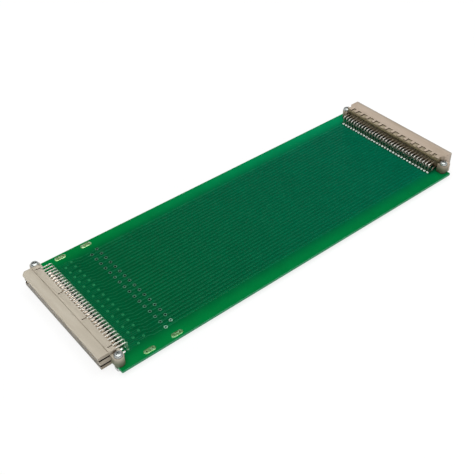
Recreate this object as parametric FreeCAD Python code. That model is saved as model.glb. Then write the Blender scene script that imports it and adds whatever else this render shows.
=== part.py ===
import FreeCAD, Part
import math
import os

# Extender card: a long circuit board with a shrouded pin connector on one end and the
# matching socket connector on the other, wired straight through, contact to contact.
# Millimetres, +Z up, +X from the pin connector to the socket connector.
# The origin is under the middle of the card, on the plane that the screw ends stand on.

V = FreeCAD.Vector

# Board, and how far each connector reaches past its edge
board_length = 263.0
board_width = 100.0
board_thickness = 1.6
male_overhang = 8.1
female_overhang = 6.9
overall_length = male_overhang + board_length + female_overhang

# Contact grid shared by both connectors: the outer two of three rows are loaded
pitch = 2.54
columns = 32
row_levels = {"a": -1, "c": 1}
row_middle_height = 3.65
contact_size = 0.62
tail_below_board = 1.4
leg_from_screw = 8.4

# Screws and nuts that hold the connectors down
screw_length = 10.0
screw_diameter = 2.5
screw_hole_diameter = 2.8
head_diameter = 5.0
head_top_diameter = 4.0
head_height = 1.8
nut_across_flats = 5.0
nut_height = 2.0
nut_sides = 6
round_sides = 16
ear_height = 6.2

# Levels above the plane that the card stands on, and the board's two ends
board_bottom = screw_length - ear_height - board_thickness
board_top = board_bottom + board_thickness
male_edge = male_overhang - overall_length / 2
female_edge = male_edge + board_length

# Pin connector: heights from the board's top, lengths from its edge
male_length = 82.8
male_low = -0.95
male_high = 8.25
male_base_front = -1.0
male_base_back = 2.9
male_wall = 1.25
male_end_wall = 1.05
male_lower_rim_setback = 0.9
male_end_bar_setback = 0.45
male_slit_height = 1.2
male_slit_from_middle = 2.05
male_corner_cut = 2.0
male_screw_spacing = 88.9
male_screw_inset = 2.08
male_ear_radius = 3.0
male_groove_at = -1.65
male_groove_width = 0.5
male_groove_depth = 0.25
male_notch_spacing = 25.4
male_notches = 4
male_notch_width = 0.7
male_notch_depth = 0.5
male_notch_front = -0.3
pin_tip_behind_rim = 1.5

# Socket connector: heights from the board's top, lengths from its edge
female_length = 87.4
female_low = -2.1
female_high = 10.1
female_back = -1.8
hood_depth = 6.6
mating_clearance = 0.15
tongue_recess = 0.5
socket_depth = 4.5
female_screw_spacing = 90.0
female_screw_inset = 2.76
female_ear_radius = 2.75
female_ear_length = 95.0
female_ear_front = 1.5
head_recess_radius = 3.2
ledge_length = 84.0
ledge_reach = 3.3
ledge_low = 7.6
ledge_high = 9.4
ledge_rib = 2.1
ledge_rib_pitch = 6.0
ledge_even_ribs = 11
ledge_outer_rib = 35.1
ledge_end_block = 3.4

# Copper on the board: lengths from the pin connector's edge
copper = 0.07
trace_width = 1.2
test_land_size = 2.2
test_land_sides = 6
test_rows = (40.13, 35.05)
edge_land_length = 7.4
edge_land_width = 3.1
edge_land_corner = 0.8
edge_land_from_side = 3.0
edge_land_places = (19.2, 36.98)


def box(x0, x1, y0, y1, z0, z1):
    return Part.makeBox(x1 - x0, y1 - y0, z1 - z0, V(x0, y0, z0))


def prism(points, direction):
    wire = Part.makePolygon(points + points[:1])
    return Part.Face(wire).extrude(direction)


def upright(radius, low, high, place):
    return Part.makeCylinder(radius, high - low, V(place[0], place[1], low))


def polygon(across_flats, sides, level, place):
    turn = 2 * math.pi / sides
    radius = across_flats / 2 / math.cos(turn / 2)
    angles = [(i + 0.5) * turn for i in range(sides)]
    return [V(place[0] + radius * math.cos(a), place[1] + radius * math.sin(a), level) for a in angles]


def polygon_plate(across_flats, sides, low, high, place):
    return prism(polygon(across_flats, sides, low, place), V(0, 0, high - low))


def shank(diameter, low, high, place):
    return polygon_plate(diameter, round_sides, low, high, place)


def column_y(column):
    return ((columns - 1) / 2 - column) * pitch


def row_height(row):
    return board_top + row_middle_height + row_levels[row] * pitch


def save(node, shape):
    shape.exportStep(os.path.join("parts", node + ".step"))


# Screw places and contact legs, which the connectors and the board share
male_screws = [V(male_edge + male_screw_inset, s * male_screw_spacing / 2, 0) for s in (-1, 1)]
female_screws = [V(female_edge - female_screw_inset, s * female_screw_spacing / 2, 0) for s in (-1, 1)]
ear_top = board_top + ear_height


def male_leg_x(row):
    return male_screws[0].x + leg_from_screw + (row_levels[row] - 1) * pitch


def female_leg_x(row):
    return female_screws[0].x - leg_from_screw - (row_levels[row] - 1) * pitch


def screw_holes(places, low, high):
    return [shank(screw_hole_diameter, low, high, p) for p in places]


def board():
    half = board_width / 2
    h = contact_size / 2
    plate = box(male_edge, female_edge, -half, half, board_bottom, board_top)
    holes = screw_holes(male_screws + female_screws, board_bottom, board_top)
    for row in row_levels:
        for x in (male_leg_x(row), female_leg_x(row)):
            for y in map(column_y, range(columns)):
                holes.append(box(x - h, x + h, y - h, y + h, board_bottom, board_top))
    return plate.cut(Part.makeCompound(holes))


def contact(tip, leg, height, y):
    """One right-angle contact: a square wire from its tip, bent down through the board."""
    h = contact_size / 2
    out = math.copysign(h, leg - tip)
    tail = board_bottom - tail_below_board
    outline = [(tip, height - h), (leg - out, height - h), (leg - out, tail),
               (leg + out, tail), (leg + out, height + h), (tip, height + h)]
    return prism([V(x, y - h, z) for x, z in outline], V(0, contact_size, 0))


def contact_row(tip, leg, row):
    return Part.makeCompound([contact(tip, leg, row_height(row), column_y(c)) for c in range(columns)])


def contact_passages(x0, x1):
    h = contact_size / 2
    passages = []
    for row in row_levels:
        z = row_height(row)
        passages += [box(x0, x1, y - h, y + h, z - h, z + h) for y in map(column_y, range(columns))]
    return passages


def male_housing():
    half = male_length / 2
    low = board_top + male_low
    high = board_top + male_high
    middle = board_top + row_middle_height
    rim = male_edge - male_overhang
    lower_rim = rim + male_lower_rim_setback
    base = male_edge + male_base_front
    back = male_edge + male_base_back

    # Shroud and base from the side: the base stands on the board, the shroud hangs past its edge
    side = [(rim, high), (rim, middle), (lower_rim, middle), (lower_rim, low), (male_edge, low),
            (male_edge, board_top), (back, board_top), (back, high)]
    body = prism([V(x, -half, z) for x, z in side], V(0, male_length, 0))

    # Ears that take the screws
    inner = half - male_end_wall
    for place in male_screws:
        y0, y1 = sorted((math.copysign(inner, place.y), place.y))
        ear = box(place.x - male_ear_radius, place.x + male_ear_radius, y0, y1, board_top, ear_top)
        body = body.fuse([ear, upright(male_ear_radius, board_top, ear_top, place)])
    body = body.removeSplitter()

    # Mating cavity, open to the front
    cuts = [box(rim, base, -inner, inner, low + male_wall, high - male_wall)]

    # Each end wall is one bar, set back from the rim and freed from the long walls by two slits
    reach = male_slit_from_middle + male_slit_height / 2
    for s in (-1, 1):
        y0, y1 = sorted((s * inner, s * half))
        cuts.append(box(rim, rim + male_end_bar_setback, y0, y1, middle - reach, middle + reach))
        for t in (-1, 1):
            z = middle + t * male_slit_from_middle
            cuts.append(box(rim, base, y0, y1, z - male_slit_height / 2, z + male_slit_height / 2))

    # One bevelled end, so that the connector mates one way only
    bevel = [V(rim, half - male_corner_cut, low), V(rim, half, low), V(rim + male_corner_cut, half, low)]
    cuts.append(prism(bevel, V(0, 0, high - low)))

    # Lengthwise groove over the base wall, and short notches behind it
    groove = male_edge + male_groove_at
    cuts.append(box(groove - male_groove_width / 2, groove + male_groove_width / 2, -half, half,
                    high - male_groove_depth, high))
    for i in range(male_notches):
        y = (i - (male_notches - 1) / 2) * male_notch_spacing
        cuts.append(box(male_edge + male_notch_front, back,
                        y - male_notch_width / 2, y + male_notch_width / 2, high - male_notch_depth, high))

    cuts += screw_holes(male_screws, board_top, ear_top)
    cuts += contact_passages(base, back)
    return body.cut(Part.makeCompound(cuts))


def female_housing():
    half = female_length / 2
    low = board_top + female_low
    high = board_top + female_high
    back = female_edge + female_back
    rim = female_edge + female_overhang

    # Block and hood from the side: the block stands on the board, the hood hangs past its edge
    side = [(back, board_top), (female_edge, board_top), (female_edge, low),
            (rim, low), (rim, high), (back, high)]
    body = prism([V(x, -half, z) for x, z in side], V(0, female_length, 0))

    # Ledge over the contacts, with ribs and end blocks that part it into shallow pockets
    ledge_end = ledge_length / 2
    ledge = [box(back - ledge_reach, back, -ledge_end, ledge_end,
                 board_top + ledge_low, board_top + ledge_high)]
    ribs = [(i - (ledge_even_ribs - 1) / 2) * ledge_rib_pitch for i in range(ledge_even_ribs)]
    ribs = [(y - ledge_rib / 2, y + ledge_rib / 2) for y in ribs + [-ledge_outer_rib, ledge_outer_rib]]
    ribs += [(-ledge_end, ledge_end_block - ledge_end), (ledge_end - ledge_end_block, ledge_end)]
    ledge += [box(back - ledge_reach, back, y0, y1, board_top + ledge_high, high) for y0, y1 in ribs]
    body = body.fuse(ledge)

    # Ears that take the screws, square in front and round behind
    for place in female_screws:
        s = math.copysign(1, place.y)
        y0, y1 = sorted((place.y - s * female_ear_radius, s * female_ear_length / 2))
        front = box(place.x, female_edge + female_ear_front, y0, y1, board_top, ear_top)
        y0, y1 = sorted((place.y - s * female_ear_radius, place.y))
        web = box(place.x - female_ear_radius, place.x, y0, y1, board_top, ear_top)
        body = body.fuse([front, web, upright(female_ear_radius, board_top, ear_top, place)])
    body = body.removeSplitter()

    # Ring-shaped groove for the mate's shroud, around a tongue that holds the sockets
    outer = male_length / 2 + mating_clearance
    inner = male_length / 2 - male_end_wall - mating_clearance
    wall = male_wall + mating_clearance
    tongue_front = rim - tongue_recess
    mouth = box(rim - hood_depth, rim, -outer, outer,
                board_top + male_low - mating_clearance, board_top + male_high + mating_clearance)
    tongue = box(rim - hood_depth, tongue_front, -inner, inner,
                 board_top + male_low + wall, board_top + male_high - wall)
    cuts = [mouth.cut(tongue)]
    cuts += contact_passages(back, tongue_front)

    # Room for the screw heads above the ears
    cuts += [upright(head_recess_radius, ear_top, high, place) for place in female_screws]
    cuts += screw_holes(female_screws, board_top, ear_top)
    return body.cut(Part.makeCompound(cuts))


def screws():
    solids = []
    for place in male_screws + female_screws:
        rings = [polygon(head_diameter, round_sides, ear_top, place),
                 polygon(head_top_diameter, round_sides, ear_top + head_height, place)]
        wires = [Part.makePolygon(ring + ring[:1]) for ring in rings]
        head = Part.makeLoft(wires, True, True)
        solids.append(head.fuse(shank(screw_diameter, ear_top - screw_length, ear_top, place)))
    return Part.makeCompound(solids)


def nuts():
    low = board_bottom - nut_height
    solids = []
    for place in male_screws + female_screws:
        nut = polygon_plate(nut_across_flats, nut_sides, low, board_bottom, place)
        solids.append(nut.cut(shank(screw_diameter, low, board_bottom, place)))
    return Part.makeCompound(solids)


def test_x(column):
    return male_edge + test_rows[column % 2]


def strips(start, end, z0, z1):
    h = trace_width / 2
    places = [(start(c), column_y(c)) for c in range(columns)]
    return Part.makeCompound([box(x, end, y - h, y + h, z0, z1) for x, y in places])


def top_traces():
    end = female_leg_x("c") - contact_size / 2
    return strips(lambda c: test_x(c) + test_land_size / 2, end, board_top, board_top + copper)


def bottom_traces():
    start = male_leg_x("c") + contact_size / 2
    end = female_leg_x("c") - contact_size / 2
    return strips(lambda c: start, end, board_bottom - copper, board_bottom)


def test_lands():
    return Part.makeCompound([polygon_plate(test_land_size, test_land_sides, board_top, board_top + copper,
                                            V(test_x(c), column_y(c), 0)) for c in range(columns)])


def edge_lands():
    a = edge_land_length / 2
    b = edge_land_width / 2
    k = edge_land_corner
    outline = [(a, k - b), (a, b - k), (a - k, b), (k - a, b),
               (-a, b - k), (-a, k - b), (k - a, -b), (a - k, -b)]
    lands = []
    for place in edge_land_places:
        for s in (-1, 1):
            centre = V(male_edge + place, s * (board_width / 2 - edge_land_from_side), board_top)
            lands.append(prism([centre + V(x, y, 0) for x, y in outline], V(0, 0, copper)))
    return Part.makeCompound(lands)


os.makedirs("parts", exist_ok=True)
save("board", board())
save("top_traces", top_traces())
save("bottom_traces", bottom_traces())
save("test_lands", test_lands())
save("edge_lands", edge_lands())
save("male_housing", male_housing())
save("female_housing", female_housing())
male_tip = male_edge - male_overhang + pin_tip_behind_rim
female_tip = female_edge + female_overhang - tongue_recess - socket_depth
for row_name in row_levels:
    save("male_contacts_row_" + row_name, contact_row(male_tip, male_leg_x(row_name), row_name))
    save("female_contacts_row_" + row_name, contact_row(female_tip, female_leg_x(row_name), row_name))
save("screws", screws())
save("nuts", nuts())
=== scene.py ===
import math

import bmesh
import bpy
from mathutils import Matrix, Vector, kdtree
from mathutils.geometry import delaunay_2d_cdt


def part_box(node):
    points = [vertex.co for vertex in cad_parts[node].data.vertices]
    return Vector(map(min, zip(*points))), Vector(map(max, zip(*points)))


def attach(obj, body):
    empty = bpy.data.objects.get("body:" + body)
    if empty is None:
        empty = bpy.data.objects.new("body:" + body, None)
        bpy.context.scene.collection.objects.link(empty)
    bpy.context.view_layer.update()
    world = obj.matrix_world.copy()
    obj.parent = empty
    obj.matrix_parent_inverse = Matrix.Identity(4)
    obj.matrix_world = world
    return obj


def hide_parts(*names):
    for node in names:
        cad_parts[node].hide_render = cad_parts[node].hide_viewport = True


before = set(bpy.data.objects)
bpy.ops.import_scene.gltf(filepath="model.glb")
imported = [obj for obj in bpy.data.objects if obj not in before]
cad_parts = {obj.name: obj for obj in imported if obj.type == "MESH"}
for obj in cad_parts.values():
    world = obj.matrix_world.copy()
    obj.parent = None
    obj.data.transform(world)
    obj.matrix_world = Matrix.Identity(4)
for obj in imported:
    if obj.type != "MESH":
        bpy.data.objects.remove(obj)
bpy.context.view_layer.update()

scene = bpy.context.scene
MM = 0.001


def node_box(node):
    """Lowest and highest corners of a CAD node, in millimetres."""
    return [[round(v / MM, 2) for v in corner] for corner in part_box(node)]


def row_places(a, c):
    """Places of the three contact rows; the unused row b is midway."""
    return {"a": a, "b": (a + c) / 2, "c": c}


# Board, in millimetres
board_low, board_high = node_box("board")
BOARD_X = (board_low[0], board_high[0])
BOARD_HALF_WIDTH = board_high[1]
BOTTOM, TOP = board_low[2], board_high[2]
BOARD_CORNER = 0.6
BOARD_BEVEL = 0.1
CONTACT_HOLE = 0.5
TEST_HOLE = 0.56
EDGE_LAND_HOLE = 0.4
SCREW_HOLE = 1.4

# Contacts; a taper is its length and the share of the width left at its end
PITCH = 2.54
COLUMNS = 32
CONTACT = 0.62
CONTACT_CORNER = 0.07
CONTACT_BEND = 1.0
PIN_TAPER = (0.9, 0.35)
SOCKET_TAPER = (0.3, 0.8)
TAIL_TAPER = (0.5, 0.6)
PIN_LEGS = row_places(*[node_box("male_contacts_row_" + r)[1][0] - CONTACT / 2 for r in "ac"])
SOCKET_LEGS = row_places(*[node_box("female_contacts_row_" + r)[0][0] + CONTACT / 2 for r in "ac"])
ROW_HEIGHTS = {r: node_box("male_contacts_row_" + r)[1][2] - CONTACT / 2 for r in "ac"}
PIN_TIP, _, TAIL_END = node_box("male_contacts_row_a")[0]
SOCKET_TIP = node_box("female_contacts_row_a")[1][0]

# Screws and nuts
HEAD_RADIUS = 2.5
HEAD_HEIGHT = 1.8
SCREW_RADIUS = 1.25
NUT_FLATS = 5.0
NUT_LOW = node_box("nuts")[0][2]
PIN_SCREW_Y = 44.45
SOCKET_SCREW_Y = 45.0
screws_low, screws_high = node_box("screws")
EAR_TOP = screws_high[2] - HEAD_HEIGHT
SCREWS = [(screws_low[0] + HEAD_RADIUS, s * PIN_SCREW_Y) for s in (-1, 1)]
SCREWS += [(screws_high[0] - HEAD_RADIUS, s * SOCKET_SCREW_Y) for s in (-1, 1)]

# Housings: faces that the painted shade on them is placed by
PIN_RIM = node_box("male_housing")[0][0]
PIN_LIP = PIN_RIM + 0.9
PIN_BASE = BOARD_X[0] - 1.0
PIN_END = 41.4
MOUTH_FLOOR = TOP + 0.3
SLIT_FROM_MIDDLE = 2.05
HOOD_RIM, _, RIB_TOP = node_box("female_housing")[1]
SOCKET_BACK = BOARD_X[1] - 1.8
LEDGE_FRONT = SOCKET_BACK - 3.3
LEDGE_END = 42.0
LEDGE_TOP = TOP + 9.4

# Lands, vias and tracks
TEST_LAND = 2.2
tests_low, tests_high = node_box("test_lands")
TEST_X = (tests_high[0] - TEST_LAND / 2, tests_low[0] + TEST_LAND / 2)
VIA_X = (-108.6, -113.7)
EDGE_LAND_LENGTH = 7.4
EDGE_LAND_WIDTH = 3.1
EDGE_LAND_HOLE_PLACE = 1.9
lands_low, lands_high = node_box("edge_lands")
EDGE_LANDS = [(x, s * (lands_high[1] - EDGE_LAND_WIDTH / 2))
              for x in (lands_low[0] + EDGE_LAND_LENGTH / 2, lands_high[0] - EDGE_LAND_LENGTH / 2)
              for s in (-1, 1)]
OPEN_LAND_LENGTH = 2.5
OPEN_LAND_WIDTH = 1.6
OPEN_LAND_SHIFT = 0.1
TRACK_RISE = 0.07
TRACK_SLOPE = 0.14
TRACK_ROOT = 0.2
FIELD_WIDTH = 1.2
FAN_WIDTH = 0.62
FAN_RISE = 0.8 * TRACK_RISE
FAN_START = 1.1
FAN_END_X = -106.5
LANE = PITCH / 2
RING_MIDDLE = 0.9


def column_y(column):
    return ((COLUMNS - 1) / 2 - column) * PITCH


# Mesh helpers
class Shape:
    """Vertices in millimetres, with faces and a material number for each face."""

    def __init__(self):
        self.verts = []
        self.faces = []
        self.kinds = []

    def add(self, verts, faces, kind=0):
        start = len(self.verts)
        self.verts += verts
        self.faces += [[start + i for i in face] for face in faces]
        self.kinds += [kind] * len(faces)

    def loft(self, rings, kind=0, closed=False):
        """A skin over rings of equal length: capped at its ends, or closed on itself."""
        n = len(rings[0])
        count = len(rings)
        faces = []
        for k in range(count if closed else count - 1):
            a = k * n
            b = (k + 1) % count * n
            for i in range(n):
                j = (i + 1) % n
                faces.append((a + i, a + j, b + j, b + i))
        if not closed:
            faces.append(tuple(reversed(range(n))))
            faces.append(tuple(range((count - 1) * n, count * n)))
        self.add([p for ring in rings for p in ring], faces, kind)

    def turn(self, profile, place, sides, kind=0, closed=False):
        """A turned form from (radius, height) points about an upright axis."""
        self.loft([ring(r, z, place, sides) for r, z in profile], kind, closed)

    def mesh(self, name):
        mesh = bpy.data.meshes.new(name)
        mesh.from_pydata([Vector(v) * MM for v in self.verts], [], self.faces)
        mesh.polygons.foreach_set("material_index", self.kinds)
        outward(mesh)
        return mesh


def ring(radius, z, place, sides):
    angles = [2 * math.pi * (i + 0.5) / sides for i in range(sides)]
    return [(place[0] + radius * math.cos(a), place[1] + radius * math.sin(a), z) for a in angles]


def obround(centre, length, width, level, steps=10):
    radius = width / 2
    reach = length / 2 - radius
    loop = []
    for end in (1, -1):
        for i in range(steps + 1):
            angle = math.pi * (i / steps - 0.5)
            loop.append((centre[0] + end * (reach + radius * math.cos(angle)),
                         centre[1] + end * radius * math.sin(angle), level))
    return loop


def outward(mesh):
    bm = bmesh.new()
    bm.from_mesh(mesh)
    bmesh.ops.recalc_face_normals(bm, faces=bm.faces)
    bm.to_mesh(mesh)
    bm.free()


def piece(name, mesh, looks, replaces=(), sharp=35):
    """A visible piece on the card, smooth except at edges sharper than the angle."""
    mesh.name = name
    for look in looks:
        mesh.materials.append(look)
    mesh.polygons.foreach_set("use_smooth", [True] * len(mesh.polygons))
    mesh.set_sharp_from_angle(angle=math.radians(sharp))
    obj = bpy.data.objects.new(name, mesh)
    scene.collection.objects.link(obj)
    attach(obj, "root")
    if replaces:
        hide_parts(*replaces)


def carve(mesh, cutter, operation="DIFFERENCE"):
    body = bpy.data.objects.new("carve_body", mesh)
    tool = bpy.data.objects.new("carve_tool", cutter)
    scene.collection.objects.link(body)
    scene.collection.objects.link(tool)
    cut = body.modifiers.new("cut", "BOOLEAN")
    cut.object = tool
    cut.operation = operation
    cut.solver = "EXACT"
    evaluated = body.evaluated_get(bpy.context.evaluated_depsgraph_get())
    result = bpy.data.meshes.new_from_object(evaluated)
    bpy.data.objects.remove(body)
    bpy.data.objects.remove(tool)
    return result


def moulded(node, radius=0.1, shortest=0.8, bluntest=40):
    """A copy of a CAD node's mesh, with outer edges rounded unless they are too short or too blunt."""
    bm = bmesh.new()
    bm.from_mesh(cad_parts[node].data)
    bmesh.ops.remove_doubles(bm, verts=bm.verts, dist=1e-6)
    bmesh.ops.dissolve_limit(bm, angle_limit=math.radians(1), verts=bm.verts, edges=bm.edges)
    edges = [e for e in bm.edges if e.is_manifold and e.is_convex
             and e.calc_face_angle() > math.radians(bluntest) and e.calc_length() > shortest * MM]
    bmesh.ops.bevel(bm, geom=edges, offset=radius * MM, segments=2, profile=0.5, affect="EDGES",
                    clamp_overlap=True)
    mesh = bpy.data.meshes.new(node)
    bm.to_mesh(mesh)
    bm.free()
    outward(mesh)
    return mesh


# Node helpers for the materials
WHITE = (1, 1, 1, 1)


def paint(red, green, blue):
    """An sRGB colour from 0 to 255 as linear RGBA."""
    parts = [c / 255 for c in (red, green, blue)]
    return tuple(c / 12.92 if c <= 0.04045 else ((c + 0.055) / 1.055) ** 2.4 for c in parts) + (1.0,)


class Look:
    """A material with a Principled shader, built up from procedural nodes."""

    def __init__(self, name, **fixed):
        self.material = bpy.data.materials.new(name)
        self.material.use_nodes = True
        self.tree = self.material.node_tree
        self.shader = self.tree.nodes["Principled BSDF"]
        for key, value in fixed.items():
            self.shader.inputs[key.replace("_", " ")].default_value = value
        coords = self.tree.nodes.new("ShaderNodeTexCoord")
        self.place = coords.outputs["Object"]
        self.axes = {}

    def node(self, kind, inputs, out=0, **settings):
        node = self.tree.nodes.new(kind)
        for key, value in settings.items():
            setattr(node, key, value)
        for key, value in inputs.items():
            if isinstance(value, bpy.types.NodeSocket):
                self.tree.links.new(value, node.inputs[key])
            else:
                node.inputs[key].default_value = value
        return node.outputs[out]

    def math(self, operation, a, b=0.0):
        return self.node("ShaderNodeMath", {0: a, 1: b}, operation=operation)

    def axis(self, name):
        """A coordinate in millimetres: x, y or z, or with bars round the letter, its size."""
        if name not in self.axes:
            letter = name.strip("|")
            part = self.node("ShaderNodeSeparateXYZ", {0: self.place}, "xyz".index(letter))
            place = self.math("DIVIDE", part, MM)
            self.axes[name] = place if name == letter else self.math("ABSOLUTE", place)
        return self.axes[name]

    def span(self, value, low, high, to_low=0.0, to_high=1.0, ease="SMOOTHSTEP"):
        return self.node("ShaderNodeMapRange", {0: value, 1: low, 2: high, 3: to_low, 4: to_high},
                         interpolation_type=ease)

    def varied(self, noise, low, high):
        """Noise, spread out over a range of values."""
        return self.span(noise, 0.3, 0.7, low, high)

    def fade(self, axis, start, end):
        """A mask along an axis: 0 before start and 1 past end."""
        return self.span(self.axis(axis), start, end)

    def region(self, *fades):
        """A mask of the place where all the fades, as (axis, start, end), overlap."""
        mask, *others = [self.fade(*fade) for fade in fades]
        for other in others:
            mask = self.math("MULTIPLY", mask, other)
        return mask

    def noise(self, size, stretch=(1, 1, 1), detail=3.0):
        """Noise with blobs of about the given size in millimetres."""
        scale = [1 / (size * MM * s) for s in stretch]
        scaled = self.node("ShaderNodeMapping", {"Vector": self.place, "Scale": scale})
        return self.node("ShaderNodeTexNoise", {"Vector": scaled, "Scale": 1.0, "Detail": detail})

    def mix(self, factor, a, b, blend="MIX"):
        return self.node("ShaderNodeMix", {0: factor, 6: a, 7: b}, 2, data_type="RGBA", blend_type=blend)

    def ramp(self, factor, stops):
        node = self.tree.nodes.new("ShaderNodeValToRGB")
        fill_ramp(node.color_ramp, stops)
        self.tree.links.new(factor, node.inputs[0])
        return node.outputs[0]

    def clouded(self, noise, tones):
        """Two or three tones, spread evenly over noise."""
        step = 0.4 / (len(tones) - 1)
        return self.ramp(noise, [(0.3 + i * step, tone) for i, tone in enumerate(tones)])

    def shade(self, colour, factor, low, high):
        """The colour, darkened and lightened a little by a factor."""
        grey = self.span(factor, 0.3, 0.7, low, high, "LINEAR")
        tone = self.node("ShaderNodeCombineColor", {0: grey, 1: grey, 2: grey})
        return self.mix(1.0, colour, tone, "MULTIPLY")

    def tint(self, colour, tint, fades):
        """The colour, multiplied by a tint where the fades overlap."""
        tinted = self.mix(1.0, colour, (*tint, 1.0), "MULTIPLY")
        return self.mix(self.region(*fades), colour, tinted)

    def occlusion_shaded(self, colour, reach, closed, tint, open_):
        """The colour, with painted shade where other surfaces within reach (mm) close it in."""
        occlusion_shade = self.node("ShaderNodeAmbientOcclusion", {"Distance": reach * MM}, 1, samples=8)
        shade = self.ramp(occlusion_shade, [(closed, (*tint, 1.0)), (open_, WHITE)])
        return self.mix(1.0, colour, shade, "MULTIPLY")

    def bump(self, heights, distance):
        """Stacked bumps from (height, share) pairs; distance is in millimetres."""
        normal = None
        for height, share in heights:
            inputs = {"Strength": share, "Distance": distance * MM, "Height": height}
            if normal:
                inputs["Normal"] = normal
            normal = self.node("ShaderNodeBump", inputs)
        self.tree.links.new(normal, self.shader.inputs["Normal"])

    def set(self, **sockets):
        for key, socket in sockets.items():
            self.tree.links.new(socket, self.shader.inputs[key.replace("_", " ")])


def fill_ramp(ramp, stops):
    while len(ramp.elements) < len(stops):
        ramp.elements.new(0.5)
    for element, (at, colour) in zip(ramp.elements, stops):
        element.position = at
        element.color = colour


# Lacquer. Places are fades, (axis, start, end) in millimetres
WEAVE = 0.9
FIELD_ENDS = (-90.0, 110.0)
MARGIN_START = ("|y|", BOARD_HALF_WIDTH - 14.0, BOARD_HALF_WIDTH - 2.0)
NEAR_SIDE = ("y", 1.0, -1.0)
FAR_SIDE = ("y", -1.0, 1.0)
PIN_SIDE = ("x", 1.0, -1.0)
SOCKET_SIDE = ("x", -1.0, 1.0)
TOP_FACE = ("z", (TOP + BOTTOM) / 2, (TOP + BOTTOM) / 2 + 0.2)
# Painted shade on the board between the pins of the pin connector, tan by the housing and dark brown further
# out
PIN_SHADE_REGION = [("x", PIN_LEGS["c"] + 0.92, PIN_LEGS["c"] - 1.08), ("|y|", 38.0, 34.0), TOP_FACE]
PIN_SHADE_SHARE = 0.85
PIN_SHADE_ENDS = (PIN_LEGS["a"], PIN_LEGS["c"] - 0.08)
PIN_SHADE_TONES = [(0.1, paint(176, 156, 140)), (0.38, paint(160, 138, 122)),
              (0.56, paint(52, 40, 34)), (0.9, paint(36, 30, 24))]
# Painted shade on the board round the socket connector's feet and under its housing
SOCKET_SHADE_TINT = (0.6, 0.56, 0.5)
SOCKET_SHADE_REGION = [("x", SOCKET_LEGS["c"] - 1.74, SOCKET_LEGS["c"] - 0.74), ("|y|", 42.5, 40.5), TOP_FACE]


def masked(name, field, margin, weave_share):
    """Green lacquer over the board: dim where copper backs it, brighter along the bare margins.

    The field has a colour for its pin end and its socket end. The margin has one for the pin end,
    and for the socket end one on the near side and one on the far side.
    """
    look = Look(name, Specular_IOR_Level=0.04, IOR=1.5)
    along = look.span(look.axis("x"), *FIELD_ENDS, ease="LINEAR")
    pin_end, near_side, far_side = margin
    edges = look.mix(along, pin_end, look.mix(look.fade(*FAR_SIDE), near_side, far_side))
    colour = look.mix(look.fade(*MARGIN_START), look.mix(along, *field), edges)
    colour = look.shade(colour, look.noise(9.0), 0.95, 1.05)
    angles = [look.math("MULTIPLY", look.axis(axis), 2 * math.pi / WEAVE) for axis in "xy"]
    weave = look.math("MULTIPLY", *[look.math("SINE", angle) for angle in angles])
    weave = look.span(weave, -1.0, 1.0, ease="LINEAR")
    colour = look.shade(colour, weave, 1.0 - weave_share, 1.0 + weave_share)
    # Painted shade between the pins: tan near row a, dark brown towards row c, unevenly
    spread = look.span(look.axis("x"), *PIN_SHADE_ENDS, ease="LINEAR")
    uneven = look.span(look.noise(1.5), 0.0, 1.0, -0.1, 0.1)
    pin_shade = look.ramp(look.math("ADD", spread, uneven), PIN_SHADE_TONES)
    colour = look.mix(look.math("MULTIPLY", look.region(*PIN_SHADE_REGION), PIN_SHADE_SHARE), colour, pin_shade)
    # Painted shade by the socket feet and under the socket housing
    colour = look.tint(colour, SOCKET_SHADE_TINT, SOCKET_SHADE_REGION)
    orange_peel = look.noise(0.8)
    look.set(Base_Color=colour, Roughness=look.varied(look.noise(5.0), 0.2, 0.28))
    look.bump([(weave, 0.12), (orange_peel, 0.25)], 0.02)
    return look.material


def laminate():
    """Cut edge of the glass-cloth board: green, with fine layers."""
    look = Look("laminate_edge", Specular_IOR_Level=0.3)
    layers = look.noise(0.5, (6.0, 6.0, 0.25))
    colour = look.clouded(layers, (paint(14, 104, 62), paint(36, 136, 92), paint(64, 160, 116)))
    look.set(Base_Color=colour, Roughness=look.varied(look.noise(0.4), 0.5, 0.7))
    look.bump([(layers, 0.4)], 0.05)
    return look.material


# Metals
CLEAN_TEST_LANDS = ("y", -35.4, -35.7)
SHADE_DOWN_A_HOLE = [("z", BOTTOM + 0.01, BOTTOM + 0.06), ("z", TOP - 0.01, TOP - 0.06)]
MATING_START = 131.3
MATING_END = ("|x|", MATING_START, MATING_START + 0.5)
# Painted shade and reflection on the contacts: the board's green reflected on the pin legs, the upright
# socket legs darkened, and the socket arms browned under the ledge
CONTACT_PAINTED_SHADE = {
    "legs of the pins": ((0.42, 0.78, 0.6),
                         [("x", PIN_LEGS["c"] - 1.38, PIN_LEGS["c"] - 0.18), PIN_SIDE]),
    "upright socket legs": ((0.36, 0.4, 0.34),
                            [("x", SOCKET_LEGS["c"] + 0.66, SOCKET_LEGS["c"] + 0.36), SOCKET_SIDE,
                             ("z", ROW_HEIGHTS["c"] - 0.59, ROW_HEIGHTS["c"] - 1.59)]),
    "socket arms": ((0.5, 0.45, 0.38),
                    [("x", SOCKET_LEGS["c"] + 1.26, SOCKET_LEGS["c"] + 3.06),
                     ("|x|", MATING_START, MATING_START - 0.4)]),
}


def metal(name, tones, roughness, grain, metallic=1.0, near_tint=None):
    """Clouded metal, with a tint for what lies on the near half of the board."""
    look = Look(name, Metallic=metallic)
    cloud = look.noise(grain * 4)
    fine = look.noise(grain)
    colour = look.clouded(cloud, tones)
    if near_tint:
        colour = look.tint(colour, near_tint, [NEAR_SIDE])
    look.set(Base_Color=colour, Roughness=look.varied(fine, *roughness))
    look.bump([(fine, 0.3), (cloud, 0.3)], 0.02)
    return look.material


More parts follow.
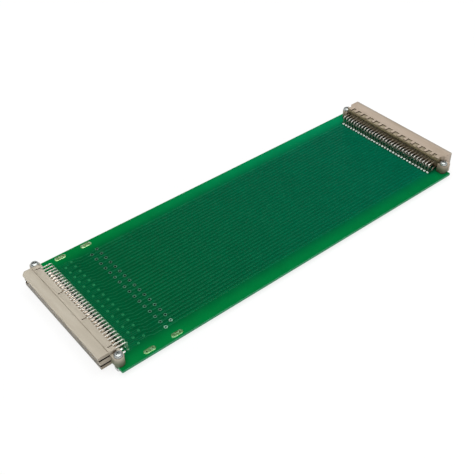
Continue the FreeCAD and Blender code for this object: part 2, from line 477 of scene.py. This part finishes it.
def land_tin():
    """Test lands: tin greened by a trace of lacquer, cleanest by the near side, with painted shade down the
    hole.
    """
    look = Look("tinned_copper", Metallic=1.0)
    cloud = look.noise(2.0)
    fine = look.noise(0.5)
    colour = look.clouded(cloud, (paint(74, 136, 107), paint(98, 160, 130)))
    colour = look.mix(look.fade(*CLEAN_TEST_LANDS), colour, paint(158, 212, 184))
    # Painted shade on the walls of the plated holes
    colour = look.mix(look.region(*SHADE_DOWN_A_HOLE), colour, paint(24, 40, 32))
    look.set(Base_Color=colour, Roughness=look.varied(fine, 0.32, 0.42))
    look.bump([(fine, 0.3), (cloud, 0.3)], 0.02)
    return look.material


def plated():
    """Contacts: tin on the tails, a pale gold flash where the connectors mate, the pins duller, with painted
    shade and reflection on the legs and arms.
    """
    look = Look("contact_plating", Metallic=0.84)
    streaks = look.noise(0.25, (4.0, 1.0, 4.0))
    tin = look.clouded(streaks, (paint(230, 226, 216), paint(250, 247, 241)))
    gold = look.clouded(streaks, (paint(214, 200, 170), paint(232, 222, 198)))
    colour = look.mix(look.fade(*MATING_END), tin, gold)
    for tint, fades in CONTACT_PAINTED_SHADE.values():
        colour = look.tint(colour, tint, fades)
    dull = look.span(look.fade(*SOCKET_SIDE), 0.0, 1.0, 0.32, 0.2, "LINEAR")
    look.set(Base_Color=colour, Roughness=look.math("ADD", look.varied(streaks, 0.16, 0.28), dull))
    look.bump([(streaks, 0.25)], 0.01)
    return look.material


# Mouldings
PIN_ENDS = [("|y|", PIN_END - 0.2, PIN_END - 0.1), ("x", PIN_BASE + 0.1, PIN_BASE - 0.7)]
LEDGE = [("x", SOCKET_BACK + 0.1, SOCKET_BACK), ("z", LEDGE_TOP - 0.05, LEDGE_TOP - 0.4), SOCKET_SIDE,
         ("|y|", LEDGE_END + 0.4, LEDGE_END + 0.2)]
POCKETS = [("x", SOCKET_BACK + 0.05, SOCKET_BACK + 0.02), SOCKET_SIDE,
           ("|y|", LEDGE_END + 0.1, LEDGE_END)]
POCKET_FLOORS = [("z", LEDGE_TOP - 0.08, LEDGE_TOP - 0.06), ("z", RIB_TOP - 0.02, RIB_TOP - 0.04)]
POCKET_WALLS = [("z", LEDGE_TOP + 0.04, LEDGE_TOP + 0.07), ("z", RIB_TOP - 0.04, RIB_TOP - 0.07)]
# Painted shade on the housings where less light falls: the ears near the board, with a painted green
# reflection of it, the pin housing's end faces and their lowest bars, under and on the ledge, the pockets,
# and the socket hood's rounded rim
HOUSING_PAINTED_SHADE = {
    "ears, down to the board": ((0.25, 0.33, 0.25),
                                [("|y|", PIN_END, PIN_END + 0.2), ("z", EAR_TOP + 1.2, EAR_TOP - 5.0),
                                 ("|x|", 132.6, 131.6)]),
    "end faces of the pin housing": ((0.75, 0.735, 0.72), PIN_ENDS),
    "lowest bars of those faces": ((0.667, 0.639, 0.611), PIN_ENDS + [("z", 6.0, 4.8)]),
    "under the ledge": ((0.64, 0.6, 0.47), LEDGE),
    "face of the ledge": ((0.71, 0.76, 0.66), LEDGE + [("x", LEDGE_FRONT + 0.2, LEDGE_FRONT)]),
    "pocket floors": ((0.78, 0.8, 0.7), POCKETS + POCKET_FLOORS),
    "pocket walls": ((0.42, 0.38, 0.3), POCKETS + POCKET_WALLS),
    "rim of the socket hood": ((0.728, 0.76, 0.792), [("x", HOOD_RIM - 2.4, HOOD_RIM)]),
}
# Painted light and shade in the mouth of the pin housing: the lip's top near white deep inside, darkening
# towards the rim
MOUTH = [("x", PIN_RIM + 5.5, PIN_RIM + 4.5), ("|y|", PIN_END - 0.15, PIN_END - 0.5),
         ("z", MOUTH_FLOOR + 0.4, MOUTH_FLOOR + 0.2)]
LIP_TOP = ("z", MOUTH_FLOOR - 0.4, MOUTH_FLOOR - 0.2)
LIP_FRONT = ("x", PIN_LIP + 0.25, PIN_LIP + 0.1)
LIP_ENDS = (PIN_LIP + 1.6, PIN_LIP - 0.1)
LIP_LIGHT_AND_SHADE = [(0.0, paint(236, 234, 230)), (0.35, paint(224, 221, 215)),
             (0.85, paint(186, 182, 174)), (0.95, paint(140, 136, 129))]
SLIT_HEIGHTS = [sum(ROW_HEIGHTS.values()) / 2 + s * SLIT_FROM_MIDDLE for s in (-1, 1)]
SLIT_WALLS = [("|y|", PIN_END - 1.1, PIN_END - 1.0), ("|y|", PIN_END - 0.02, PIN_END - 0.2),
              ("x", PIN_BASE + 0.1, PIN_BASE)]


def moulding(name, tones, occlusion_shade):
    """Glass-filled beige thermoplastic: fine grain and faint flow marks, with painted shade on some faces,
    in the slits and in crevices, and painted light and shade in the pin housing's mouth.
    """
    look = Look(name, Specular_IOR_Level=0.35)
    flow = look.noise(14.0, (0.4, 2.0, 0.6))
    grain = look.noise(0.35)
    specks = look.noise(0.16, detail=1.0)
    colour = look.clouded(flow, tones)
    colour = look.shade(colour, grain, 0.955, 1.045)
    colour = look.mix(look.span(specks, 0.62, 0.74, 0.0, 0.35), colour, paint(216, 210, 198))
    for tint, fades in HOUSING_PAINTED_SHADE.values():
        colour = look.tint(colour, tint, fades)
    # Painted light and shade on the lip in the mouth
    inside = look.math("MAXIMUM", look.fade(*LIP_TOP), look.fade(*LIP_FRONT))
    lip_light_and_shade = look.ramp(look.span(look.axis("x"), *LIP_ENDS, ease="LINEAR"), LIP_LIGHT_AND_SHADE)
    colour = look.mix(look.math("MULTIPLY", look.region(*MOUTH), inside), colour, lip_light_and_shade)
    # Painted shade: the slits in the pin housing's end faces painted near black
    for z in SLIT_HEIGHTS:
        slit_shade = look.region(("z", z - 0.66, z - 0.64), ("z", z + 0.66, z + 0.64), *SLIT_WALLS)
        colour = look.mix(slit_shade, colour, paint(34, 28, 24))
    colour = look.occlusion_shaded(colour, *occlusion_shade)
    look.set(Base_Color=colour, Roughness=look.varied(grain, 0.5, 0.66))
    look.bump([(grain, 0.35), (flow, 0.15)], 0.03)
    return look.material


MASK = masked("green_mask", (paint(0, 81, 45), paint(0, 91, 63)),
              (paint(0, 120, 56), paint(0, 117, 60), paint(0, 132, 84)), 0.02)
MASK_COPPER = masked("green_mask_on_copper", (paint(2, 95, 57), paint(0, 97, 70)),
                     (paint(1, 118, 60), paint(1, 118, 66), paint(1, 130, 86)), 0.0)
MASK_VIA = masked("green_mask_on_vias", (paint(32, 126, 78), paint(32, 126, 82)),
                  (paint(32, 126, 78), paint(32, 126, 82), paint(32, 126, 82)), 0.0)
LAMINATE = laminate()
SOLDER = metal("solder", (paint(222, 228, 222), paint(246, 250, 246)), (0.3, 0.46), 0.3)
BRIGHT_SOLDER = metal("bright_solder", (paint(240, 252, 242), paint(250, 255, 250)), (0.35, 0.5), 0.3,
                      metallic=0.3)
WARM_SOLDER = metal("warm_solder", (paint(218, 200, 184), paint(244, 232, 218)), (0.3, 0.46), 0.3)
TINNED = land_tin()
DULL_TIN = metal("dull_tin", (paint(70, 92, 76), paint(104, 124, 108)), (0.3, 0.45), 0.5)
YELLOW_TIN = metal("yellowed_tin", (paint(130, 160, 102), paint(174, 216, 152), paint(216, 250, 214)),
                   (0.3, 0.44), 0.45, near_tint=(0.42, 0.54, 0.46))
PLATED = plated()
# The last argument of each moulding is its painted shade in crevices: reach, closed, tint and open
BEIGE = moulding("beige_moulding", (paint(178, 169, 152), paint(187, 178, 161), paint(194, 186, 170)),
                 (1.5, 0.35, (0.36, 0.3, 0.25), 0.8))
BEIGE_WARM = moulding("warm_beige_moulding",
                      (paint(174, 157, 138), paint(182, 165, 147), paint(188, 172, 155)),
                      (1.4, 0.5, (0.14, 0.11, 0.07), 0.9))
STEEL = metal("plated_steel", (paint(168, 172, 170), paint(196, 200, 198)), (0.32, 0.46), 0.25)

# Board with its drilled holes
BOARD_LOOKS = [MASK, LAMINATE, TINNED, YELLOW_TIN]
LACQUERED, CUT, PLATED_HOLE, EDGE_HOLE = range(len(BOARD_LOOKS))


def corner_loop(inset, steps=4):
    radius = BOARD_CORNER - inset
    x0, x1 = BOARD_X[0] + BOARD_CORNER, BOARD_X[1] - BOARD_CORNER
    y = BOARD_HALF_WIDTH - BOARD_CORNER
    loop = []
    for quarter, (cx, cy) in enumerate([(x1, y), (x0, y), (x0, -y), (x1, -y)]):
        for step in range(steps + 1):
            angle = math.pi / 2 * (quarter + step / steps)
            loop.append((cx + radius * math.cos(angle), cy + radius * math.sin(angle)))
    return loop


def board_holes():
    """(centre, radius, sides, material number of the wall) of each drilled hole."""
    holes = []
    for legs in (PIN_LEGS, SOCKET_LEGS):
        holes += [((x, column_y(c)), CONTACT_HOLE, 12, PLATED_HOLE)
                  for x in legs.values() for c in range(COLUMNS)]
    holes += [((TEST_X[c % 2], column_y(c)), TEST_HOLE, 20, PLATED_HOLE) for c in range(COLUMNS)]
    holes += [(place, EDGE_LAND_HOLE, 16, EDGE_HOLE) for place in edge_land_holes()]
    holes += [(place, SCREW_HOLE, 28, CUT) for place in SCREWS]
    return holes


def edge_land_holes():
    return [(x + s * EDGE_LAND_HOLE_PLACE, y) for x, y in EDGE_LANDS for s in (-1, 1)]


def drilled_sheet(outline, holes):
    """Points and triangles of a flat sheet, with the indices of its outline and of each hole's rim."""
    loops = [outline] + [[p[:2] for p in ring(radius, 0, place, sides)] for place, radius, sides, _ in holes]
    points, edges, spans = [], [], []
    for loop in loops:
        start = len(points)
        points += [Vector(p) for p in loop]
        edges += [(start + i, start + (i + 1) % len(loop)) for i in range(len(loop))]
        spans.append(range(start, start + len(loop)))
    flat, _, faces, origins, _, _ = delaunay_2d_cdt(points, edges, [], 1, 1e-6)
    new_index = {old: new for new, olds in enumerate(origins) for old in olds}
    tree = kdtree.KDTree(len(holes))
    for i, (place, *_rest) in enumerate(holes):
        tree.insert((*place, 0), i)
    tree.balance()
    widest = max(radius for _, radius, *_rest in holes)
    kept = []
    for face in faces:
        middle = sum((flat[i] for i in face), Vector((0, 0))) / len(face)
        near = tree.find_range((*middle, 0), widest)
        if not any(gap < holes[i][1] * 0.999 for _, i, gap in near):
            kept.append(list(face))
    return flat, kept, [[new_index[i] for i in span] for span in spans]


def board_plate():
    holes = board_holes()
    flat, faces, (rim, *hole_rims) = drilled_sheet(corner_loop(BOARD_BEVEL), holes)
    n = len(flat)
    shape = Shape()
    shape.verts = [(*p, z) for z in (TOP, BOTTOM) for p in flat]
    shape.faces = faces + [[n + i for i in reversed(face)] for face in faces]
    shape.kinds = [LACQUERED] * len(shape.faces)
    for loop, (_, _, _, kind) in zip(hole_rims, holes):
        pairs = list(zip(loop, loop[1:] + loop[:1]))
        shape.faces += [[a, b, n + b, n + a] for a, b in pairs]
        shape.kinds += [kind] * len(pairs)

    # Bevelled edge: from the top's rim by two outer loops to the bottom's rim
    outline = corner_loop(0.0)
    k = len(outline)
    start = len(shape.verts)
    shape.verts += [(*p, z) for z in (TOP - BOARD_BEVEL, BOTTOM + BOARD_BEVEL) for p in outline]
    levels = [rim, range(start, start + k), range(start + k, start + 2 * k), [n + i for i in rim]]
    for upper, lower in zip(levels, levels[1:]):
        for i in range(k):
            j = (i + 1) % k
            shape.faces.append([upper[i], upper[j], lower[j], lower[i]])
            shape.kinds.append(CUT)

    # Points inside the holes are dropped
    used = sorted({i for face in shape.faces for i in face})
    place = {old: new for new, old in enumerate(used)}
    shape.verts = [shape.verts[i] for i in used]
    shape.faces = [[place[i] for i in face] for face in shape.faces]
    return shape.mesh("board_plate")


# Copper tracks under the lacquer
def ribbon(shape, path, width, level, rise):
    """A low ridge with sloped sides along a bent path in the board's plane."""
    half = width / 2
    profile = [(-half, -TRACK_ROOT), (-half, 0.0), (TRACK_SLOPE - half, 1.0),
               (half - TRACK_SLOPE, 1.0), (half, 0.0), (half, -TRACK_ROOT)]
    points = [Vector(p) for p in path]
    rings = []
    for i, point in enumerate(points):
        before = (point - points[i - 1]).normalized() if i else None
        after = (points[i + 1] - point).normalized() if i + 1 < len(points) else None
        along = ((before or after) + (after or before)).normalized()
        normal = Vector((-along.y, along.x))
        reach = 1 / max(0.5, abs(along.dot(before or after)))
        rings.append([(*(point + normal * (offset * reach)), level + lift * rise)
                      for offset, lift in profile])
    shape.loft(rings)


def top_tracks():
    """From each pin of row c by a test land to its socket, and from each pin of row a to its via."""
    shape = Shape()
    a_leg, c_leg = PIN_LEGS["a"], PIN_LEGS["c"]
    bend = c_leg + FAN_START
    for c in range(COLUMNS):
        y = column_y(c)
        test = TEST_X[c % 2]
        fan = [(c_leg, y), (bend, y), (bend + LANE, y + LANE), (FAN_END_X, y + LANE),
               (FAN_END_X + 2 * LANE, y), (test - RING_MIDDLE, y)]
        ribbon(shape, fan, FAN_WIDTH, TOP, FAN_RISE)
        ribbon(shape, [(test + RING_MIDDLE, y), (SOCKET_LEGS["c"], y)], FIELD_WIDTH, TOP, TRACK_RISE)
        to_via = [(a_leg, y), (a_leg + LANE, y - LANE), (bend, y - LANE), (bend + LANE, y),
                  (VIA_X[c % 2], y)]
        ribbon(shape, to_via, FAN_WIDTH, TOP, FAN_RISE)
    return shape.mesh("tracks_top")


def bottom_tracks():
    shape = Shape()
    for c in range(COLUMNS):
        y = column_y(c)
        ribbon(shape, [(PIN_LEGS["c"], y), (SOCKET_LEGS["c"], y)], FIELD_WIDTH, BOTTOM, -TRACK_RISE)
    return shape.mesh("tracks_bottom")


def vias():
    """Small holes closed over by the lacquer, low rings with a dimple, and the lands under row c."""
    shape = Shape()
    dimple = [(0.85, -0.015), (0.85, 0.0), (0.74, 0.075), (0.46, 0.08), (0.32, 0.03), (0.1, 0.015)]
    land = [(1.0, -0.01), (1.0, 0.01), (0.9, 0.07), (0.5, 0.075)]
    sides = 18
    for c in range(COLUMNS):
        y = column_y(c)
        shape.turn([(r, TOP + z) for r, z in dimple], (VIA_X[c % 2], y), sides)
        shape.turn([(r, BOTTOM - z) for r, z in dimple], (VIA_X[c % 2], y), sides)
        shape.turn([(r, TOP + z) for r, z in land], (PIN_LEGS["c"], y), sides)
    return shape.mesh("vias")


# Tinned lands
def eyelets(name, half, places, sides):
    """Plated holes with a ring on each face, from the upper half of their profile."""
    shape = Shape()
    profile = [(r, TOP + z) for r, z in half] + [(r, BOTTOM - z) for r, z in reversed(half)]
    for place in places:
        shape.turn(profile, place, sides, closed=True)
    return shape.mesh(name)


def test_rings():
    half = [(0.56, 0.0), (1.15, 0.0), (1.11, 0.1), (0.57, 0.1), (0.53, 0.0)]
    return eyelets("test_rings", half, [(TEST_X[c % 2], column_y(c)) for c in range(COLUMNS)], 20)


def bare_holes():
    """The socket connector's unused middle row: plated holes with thin dull rings."""
    half = [(0.5, 0.0), (0.85, 0.0), (0.8, 0.05), (0.52, 0.05), (0.46, 0.0)]
    return eyelets("bare_holes", half, [(SOCKET_LEGS["b"], column_y(c)) for c in range(COLUMNS)], 16)


def edge_land_pads():
    shape = Shape()
    crown = [(0.0, -0.01), (0.0, 0.01), (0.12, 0.06), (0.45, 0.07)]
    for centre in EDGE_LANDS:
        shape.loft([obround(centre, EDGE_LAND_LENGTH - 2 * inset, EDGE_LAND_WIDTH - 2 * inset, TOP + z)
                    for inset, z in crown])
    drills = Shape()
    for place in edge_land_holes():
        drills.turn([(EDGE_LAND_HOLE, TOP - 0.5), (EDGE_LAND_HOLE, TOP + 0.5)], place, 16)
    return carve(shape.mesh("edge_pads"), drills.mesh("drills"))


# Solder, as profiles of (radius, height) up a contact
HOLLOW_FILLET = [(0.86, -0.01), (0.86, 0.02), (0.8, 0.09), (0.64, 0.17), (0.5, 0.3), (0.44, 0.5)]
HEAPED_FILLET = [(0.84, -0.01), (0.84, 0.1), (0.81, 0.36), (0.68, 0.7), (0.44, 0.95)]
CONE = [(0.9, -0.01), (0.9, 0.02), (0.84, 0.12), (0.66, 0.3), (0.5, 0.6), (0.43, 0.95)]
FILLET_NECK = 0.44
JOINT_LOOKS = [SOLDER, BRIGHT_SOLDER]
DULL_JOINT, BRIGHT_JOINT = range(len(JOINT_LOOKS))
OPEN_LAND_LOOKS = [WARM_SOLDER, SOLDER]
WARM_LAND, PLAIN_LAND = range(len(OPEN_LAND_LOOKS))
PLAIN_COLUMNS = 2


def solder_joints():
    shape = Shape()
    sides = 14
    rows = [(PIN_LEGS["a"], HOLLOW_FILLET, 0.72, DULL_JOINT),
            (PIN_LEGS["c"], HOLLOW_FILLET, 0.72, DULL_JOINT),
            (SOCKET_LEGS["a"], HOLLOW_FILLET, 0.6, DULL_JOINT),
            (SOCKET_LEGS["c"], HEAPED_FILLET, 1.0, BRIGHT_JOINT)]
    for x, fillet, spread, kind in rows:
        profile = [(max(r * spread, FILLET_NECK), TOP + z * spread) for r, z in fillet]
        for c in range(COLUMNS):
            place = (x, column_y(c))
            shape.turn(profile, place, sides, kind)
            shape.turn([(r, BOTTOM - z) for r, z in CONE], place, sides)
    return shape.mesh("solder_joints")


def open_lands():
    """The pin connector's unused middle row: long lands heaped with solder, warmer in tone on top except in
    the nearest columns.
    """
    shape = Shape()
    heap = [(0.0, -0.01), (0.0, 0.03), (0.1, 0.12), (0.32, 0.21), (0.55, 0.25)]
    for c in range(COLUMNS):
        centre = (PIN_LEGS["b"] - OPEN_LAND_SHIFT, column_y(c))
        upper_look = PLAIN_LAND if c >= COLUMNS - PLAIN_COLUMNS else WARM_LAND
        for level, side, kind in ((TOP, 1, upper_look), (BOTTOM, -1, PLAIN_LAND)):
            shape.loft([obround(centre, OPEN_LAND_LENGTH - 2 * inset, OPEN_LAND_WIDTH - 2 * inset,
                                level + side * z, 7) for inset, z in heap], kind)
    return shape.mesh("open_lands")


# Contacts
def contact_wire(tip, leg, height, y, taper):
    """A square wire with softened corners: tapered tip, one round bend, tapered tail."""
    h = CONTACT / 2
    k = h - CONTACT_CORNER
    square = [(h, k), (k, h), (-k, h), (-h, k), (-h, -k), (-k, -h), (k, -h), (h, -k)]
    s = math.copysign(1, leg - tip)
    tip_length, tip_share = taper
    tail_length, tail_share = TAIL_TAPER
    stations = [((tip, height), 0.0, tip_share), ((tip + s * tip_length, height), 0.0, 1.0)]
    steps = 8
    for i in range(steps + 1):
        angle = math.pi / 2 * i / steps
        at = (leg - s * CONTACT_BEND * (1 - math.sin(angle)), height - CONTACT_BEND * (1 - math.cos(angle)))
        stations.append((at, angle, 1.0))
    stations.append(((leg, TAIL_END + tail_length), math.pi / 2, 1.0))
    stations.append(((leg, TAIL_END), math.pi / 2, tail_share))
    rings = []
    for (x, z), angle, scale in stations:
        nx, nz = s * math.sin(angle), math.cos(angle)
        rings.append([(x + nx * b * scale, y + a * scale, z + nz * b * scale) for a, b in square])
    return rings


def contact_row(name, tip, leg, height, taper):
    shape = Shape()
    for c in range(COLUMNS):
        shape.loft(contact_wire(tip, leg, height, column_y(c), taper))
    return shape.mesh(name)


# Screws and nuts
def pan_screw():
    """A pan-head screw with a cross recess, upright on the axis of its hole."""
    head = [(2.38, 0.0), (HEAD_RADIUS, 0.12), (HEAD_RADIUS, 0.6), (2.42, 0.95), (2.2, 1.3), (1.8, 1.58),
            (1.2, 1.74), (0.5, HEAD_HEIGHT)]
    shank = [(0.75, 0.0), (SCREW_RADIUS, 0.25), (SCREW_RADIUS, EAR_TOP - 0.02)]
    shape = Shape()
    shape.turn(shank + [(r, EAR_TOP + z) for r, z in head], (0, 0), 40)
    body = shape.mesh("screw")
    arm_ends = [(0.2, 0.75, 0.75), (0.42, 1.45, 2.2)]
    for crosswise in (True, False):
        loops = []
        for half_width, reach, z in arm_ends:
            corners = [(reach, half_width), (-reach, half_width),
                       (-reach, -half_width), (reach, -half_width)]
            loops.append([(-y, x, EAR_TOP + z) if crosswise else (x, y, EAR_TOP + z) for x, y in corners])
        arm = Shape()
        arm.loft(loops)
        body = carve(body, arm.mesh("arm"))
    return body


def hex_nut():
    """A nut with both ends chamfered round and a countersunk bore."""
    corner_radius = NUT_FLATS / 2 / math.cos(math.pi / 6)
    prism = Shape()
    prism.loft([ring(corner_radius, z, (0, 0), 6) for z in (NUT_LOW, BOTTOM)])
    flat = NUT_FLATS / 2 - 0.05
    wide = flat + 0.6
    chamfer = 0.33
    barrel = Shape()
    barrel.turn([(flat, NUT_LOW - 0.01), (wide, NUT_LOW + chamfer), (wide, BOTTOM - chamfer),
                 (flat, BOTTOM + 0.01)], (0, 0), 48)
    bore = Shape()
    bore.turn([(SCREW_RADIUS + 0.3, NUT_LOW - 0.1), (SCREW_RADIUS, NUT_LOW + 0.25),
               (SCREW_RADIUS, BOTTOM + 0.1)], (0, 0), 32)
    body = carve(prism.mesh("nut"), barrel.mesh("barrel"), "INTERSECT")
    return carve(body, bore.mesh("bore"))


def repeated(name, mesh, places, turns):
    """One mesh from copies of another, each turned by degrees and moved to its place."""
    shape = Shape()
    base = [v.co / MM for v in mesh.vertices]
    faces = [list(p.vertices) for p in mesh.polygons]
    for (x, y), turn in zip(places, turns):
        c, s = math.cos(math.radians(turn)), math.sin(math.radians(turn))
        shape.add([(x + v.x * c - v.y * s, y + v.x * s + v.y * c, v.z) for v in base], faces)
    return shape.mesh(name)


SCREW_TURNS = (20, 65, 10, 50)
NUT_TURNS = (0, 15, 40, 25)
SMOOTH_SOLDER = 60
piece("board_plate", board_plate(), BOARD_LOOKS, ["board"])
piece("tracks_top", top_tracks(), [MASK_COPPER], ["top_traces"])
piece("tracks_bottom", bottom_tracks(), [MASK_COPPER], ["bottom_traces"])
piece("vias", vias(), [MASK_VIA])
piece("test_rings", test_rings(), [TINNED], ["test_lands"], sharp=20)
piece("edge_pads", edge_land_pads(), [YELLOW_TIN], ["edge_lands"])
piece("solder_joints", solder_joints(), JOINT_LOOKS, sharp=SMOOTH_SOLDER)
piece("open_lands", open_lands(), OPEN_LAND_LOOKS, sharp=SMOOTH_SOLDER)
piece("bare_holes", bare_holes(), [DULL_TIN])
piece("pin_housing", moulded("male_housing"), [BEIGE], ["male_housing"])
piece("socket_housing", moulded("female_housing"), [BEIGE_WARM], ["female_housing"])
for row, height in ROW_HEIGHTS.items():
    piece("pins_row_" + row, contact_row("pins", PIN_TIP, PIN_LEGS[row], height, PIN_TAPER),
          [PLATED], ["male_contacts_row_" + row])
    piece("sockets_row_" + row, contact_row("sockets", SOCKET_TIP, SOCKET_LEGS[row], height, SOCKET_TAPER),
          [PLATED], ["female_contacts_row_" + row])
piece("pan_screws", repeated("screws", pan_screw(), SCREWS, SCREW_TURNS), [STEEL], ["screws"])
piece("hex_nuts", repeated("nuts", hex_nut(), SCREWS, NUT_TURNS), [STEEL], ["nuts"])

# Floor, evenly glowing, with a painted shadow under the card where the glow fades out
FLOOR_REACH = 3.0
FLOOR_STEPS = 12
CARD_SHADOW_REGION = [("|x|", 128.0, 118.0), ("|y|", BOARD_HALF_WIDTH - 3.0, BOARD_HALF_WIDTH - 13.0)]


def floor():
    row_length = FLOOR_STEPS + 1
    marks = [(i / FLOOR_STEPS * 2 - 1) * FLOOR_REACH for i in range(row_length)]
    corners = [j * row_length + i for j in range(FLOOR_STEPS) for i in range(FLOOR_STEPS)]
    mesh = bpy.data.meshes.new("floor")
    mesh.from_pydata([(x, y, 0.0) for y in marks for x in marks], [],
                     [(k, k + 1, k + 1 + row_length, k + row_length) for k in corners])
    look = Look("pale_floor", Specular_IOR_Level=0.0, Emission_Color=WHITE)
    # Painted shadow: the glow fades out under the card
    under = look.region(*CARD_SHADOW_REGION)
    tone = look.noise(120.0)
    look.set(Emission_Strength=look.span(under, 0.0, 1.0, 0.83, 0.02, "LINEAR"),
             Base_Color=look.clouded(tone, ((0.17, 0.17, 0.17, 1), (0.18, 0.18, 0.18, 1))),
             Roughness=look.varied(tone, 0.85, 0.95))
    mesh.materials.append(look.material)
    obj = bpy.data.objects.new("floor", mesh)
    scene.collection.objects.link(obj)


floor()

# Studio light by height above the horizon: a pale horizon, a dim band and a wide soft ring overhead
LIGHT_STRENGTH = 3.8
LIGHT_LEVELS = [(0.2, 0.27), (0.42, 0.012), (0.81, 0.012), (0.90, 1.0), (0.972, 1.0), (0.99, 0.1)]
world = bpy.data.worlds.new("studio")
scene.world = world
world.use_nodes = True
links = world.node_tree.links
sky = world.node_tree.nodes
direction = sky.new("ShaderNodeTexCoord").outputs["Generated"]
upward = sky.new("ShaderNodeSeparateXYZ")
links.new(direction, upward.inputs[0])
glow = sky.new("ShaderNodeValToRGB")
fill_ramp(glow.color_ramp, [(at, (level, level, level, 1)) for at, level in LIGHT_LEVELS])
links.new(upward.outputs["Z"], glow.inputs[0])
background = sky["Background"]
links.new(glow.outputs[0], background.inputs["Color"])
background.inputs["Strength"].default_value = LIGHT_STRENGTH
scene.view_settings.view_transform = "Standard"

# Camera in metres and degrees, solved from the board's corners and the contact grid in the photo
CAMERA_PLACE = (-0.243175, -0.285242, 0.315636)
CAMERA_TURN = (48.83286, 0.7431, -39.55363)
camera_data = bpy.data.cameras.new("camera")
camera_data.lens = 58.482
camera_data.sensor_width = 36.0
camera_data.clip_start = 0.01
camera = bpy.data.objects.new("camera", camera_data)
camera.location = CAMERA_PLACE
camera.rotation_euler = [math.radians(a) for a in CAMERA_TURN]
scene.collection.objects.link(camera)
scene.camera = camera
